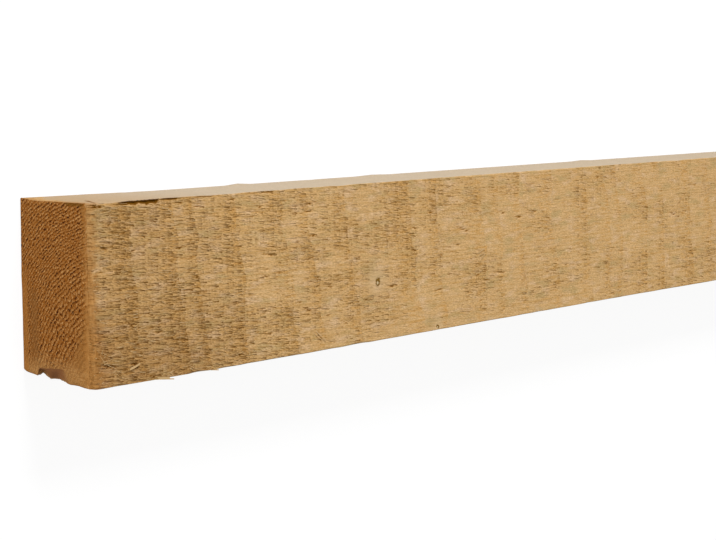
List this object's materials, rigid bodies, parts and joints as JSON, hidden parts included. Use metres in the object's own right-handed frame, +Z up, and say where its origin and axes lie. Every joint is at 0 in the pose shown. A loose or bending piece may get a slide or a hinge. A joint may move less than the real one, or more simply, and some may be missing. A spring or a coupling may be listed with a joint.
{
  "type": "sawn timber plank",
  "caption": "Straight rough-sawn softwood plank of plain rectangular section, with eased long edges and one worn, chipped end, for studs, battens and framing.",
  "frame": {"origin": "middle of the underside, on the floor that the plank lies on", "axes": "+X along the grain from the worn end to the plain end, +Y across the wide face, +Z up through the thickness"},
  "size_m": [2.4, 0.075, 0.047],
  "materials": {
    "sawn_softwood": "matte"
  },
  "bodies": {
    "root": {"plank": "sawn_softwood"}
  },
  "joints": []
}
